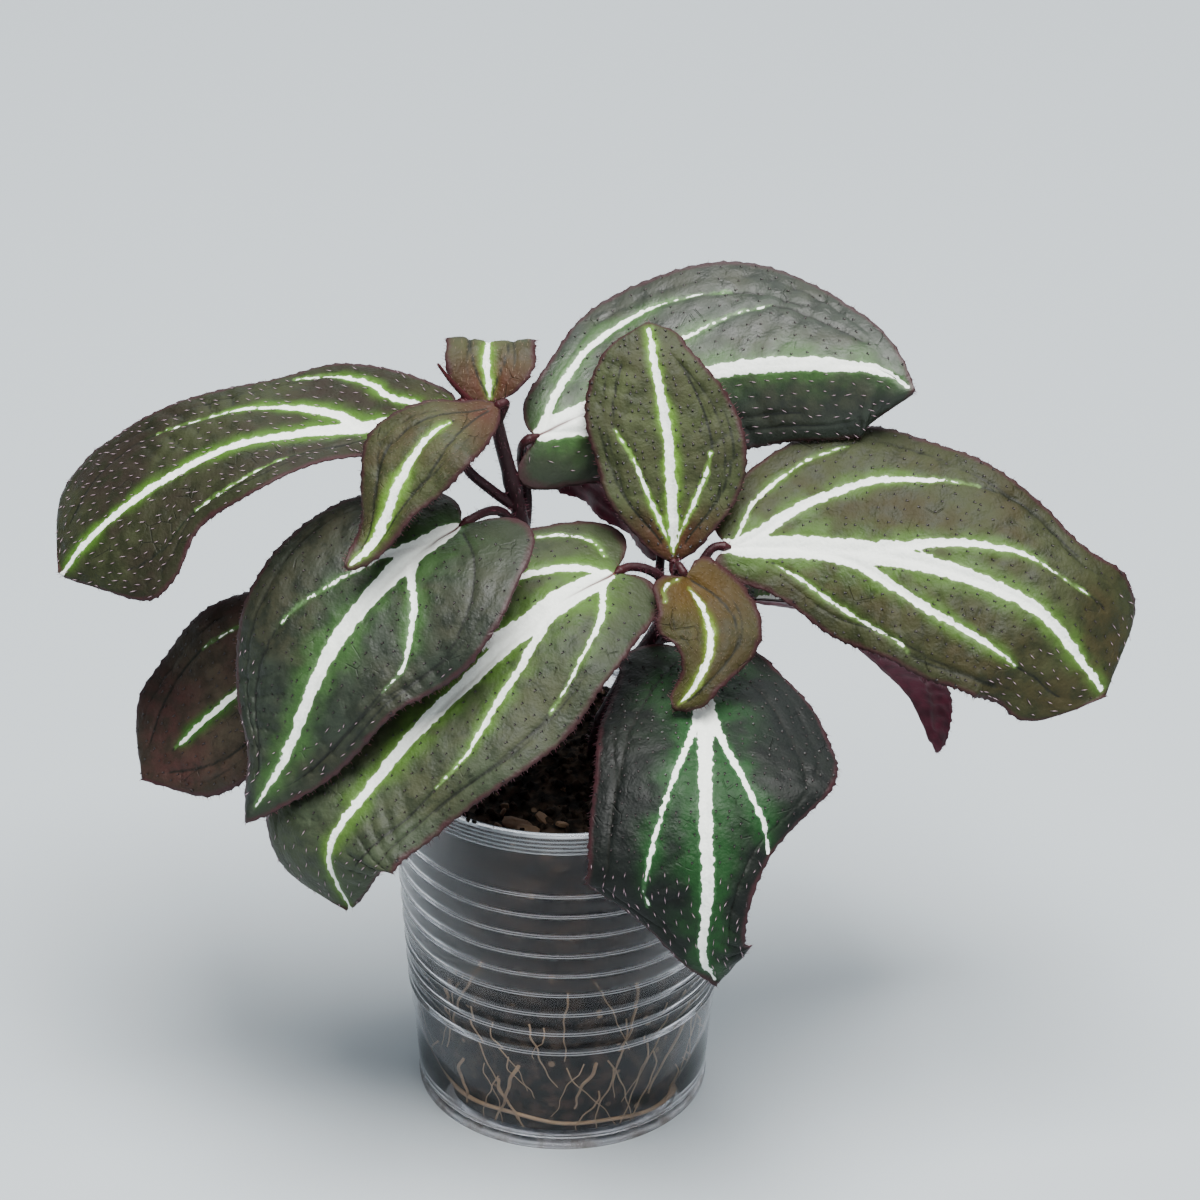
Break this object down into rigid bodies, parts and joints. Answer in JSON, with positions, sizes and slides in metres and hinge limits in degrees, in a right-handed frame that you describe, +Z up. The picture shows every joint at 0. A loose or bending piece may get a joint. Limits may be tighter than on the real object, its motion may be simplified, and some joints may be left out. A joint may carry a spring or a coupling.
{
  "type": "potted sonerila plant",
  "caption": "House plant with striped oval leaves on two short stems, rooted in soil in a clear ribbed plastic cup.",
  "frame": {"origin": "centre of the cup's underside, on the surface it stands on", "axes": "+Z up; the plant's front, where the two big striped leaves hang over the rim, faces -Y, and its widest leaf reaches to +X"},
  "size_m": [0.2135, 0.1013, 0.1663],
  "materials": {
    "pot": "clear, thin and glossy, with fine moulded ribs",
    "soil": "dark, damp, crumbly potting soil",
    "roots": "pale tan, thin and slightly fuzzy",
    "stem": "dark maroon, softly glossy, finely hairy",
    "leaf": "dark grey-green with a satin sheen, white stripes edged in green, wine purple underneath",
    "young_leaf": "olive brown, satin and hairy, white midrib edged in green"
  },
  "bodies": {
    "root": {"pot": "pot", "soil": "soil", "roots": "roots", "stem_left": "stem", "stem_right": "stem", "leaf_left_long": "leaf", "leaf_left_young": "young_leaf", "leaf_left_folded": "young_leaf", "leaf_front_left": "leaf", "leaf_low_left": "leaf", "leaf_back_tall": "leaf", "leaf_front": "leaf", "leaf_right_young": "young_leaf", "leaf_right_folded": "young_leaf", "leaf_right_big": "leaf", "leaf_front_low": "leaf", "leaf_back_right": "leaf", "leaf_back": "leaf"}
  },
  "joints": []
}
